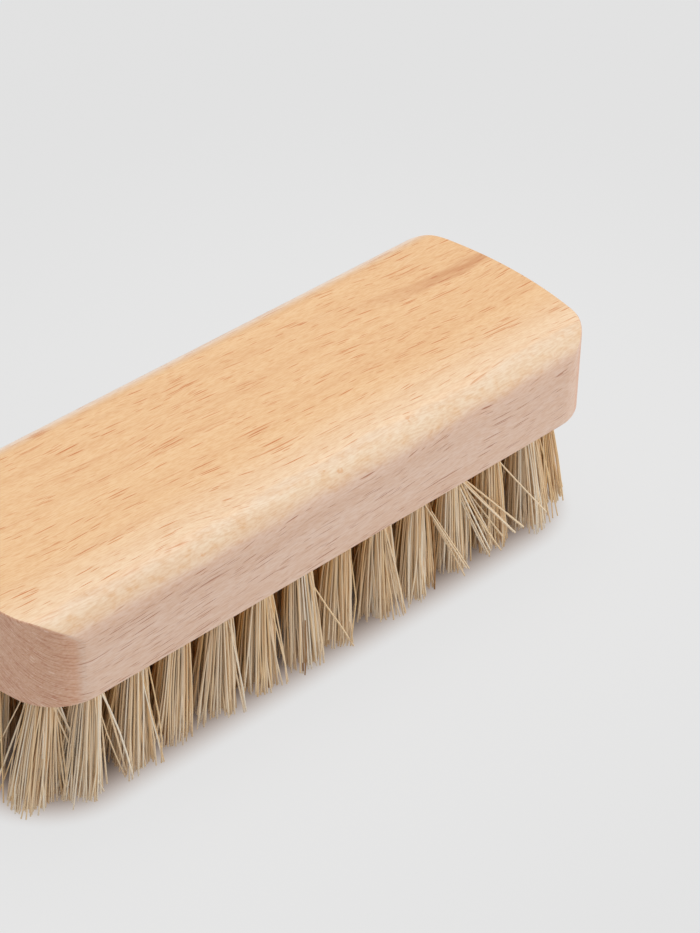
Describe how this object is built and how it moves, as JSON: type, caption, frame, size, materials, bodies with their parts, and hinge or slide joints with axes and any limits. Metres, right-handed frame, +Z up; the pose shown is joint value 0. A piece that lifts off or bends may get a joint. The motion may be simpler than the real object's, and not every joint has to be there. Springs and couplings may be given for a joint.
{
  "type": "shoe polishing brush",
  "caption": "Flat-topped wooden shoe polishing brush with bowed ends, rounded long edges and natural bristle tufts folded into drilled holes.",
  "frame": {"origin": "on the ground plane under the middle of the brush, where the cut bristle tips stand", "axes": "+X along the brush, +Y across it, +Z up from the bristle tips to the flat top of the block"},
  "size_m": [0.1224, 0.0434, 0.036],
  "materials": {
    "beech": "fine-sanded beech with a thin satin oil finish",
    "bristle": "natural bristle, straw to brown, slightly glossy"
  },
  "bodies": {
    "root": {"handle_block": "beech", "tuft_row_01": "bristle", "tuft_row_02": "bristle", "tuft_row_03": "bristle", "tuft_row_04": "bristle", "tuft_row_05": "bristle", "tuft_row_06": "bristle", "tuft_row_07": "bristle", "tuft_row_08": "bristle", "tuft_row_09": "bristle", "tuft_row_10": "bristle", "tuft_row_11": "bristle", "tuft_row_12": "bristle", "tuft_row_13": "bristle", "tuft_row_14": "bristle"}
  },
  "joints": []
}
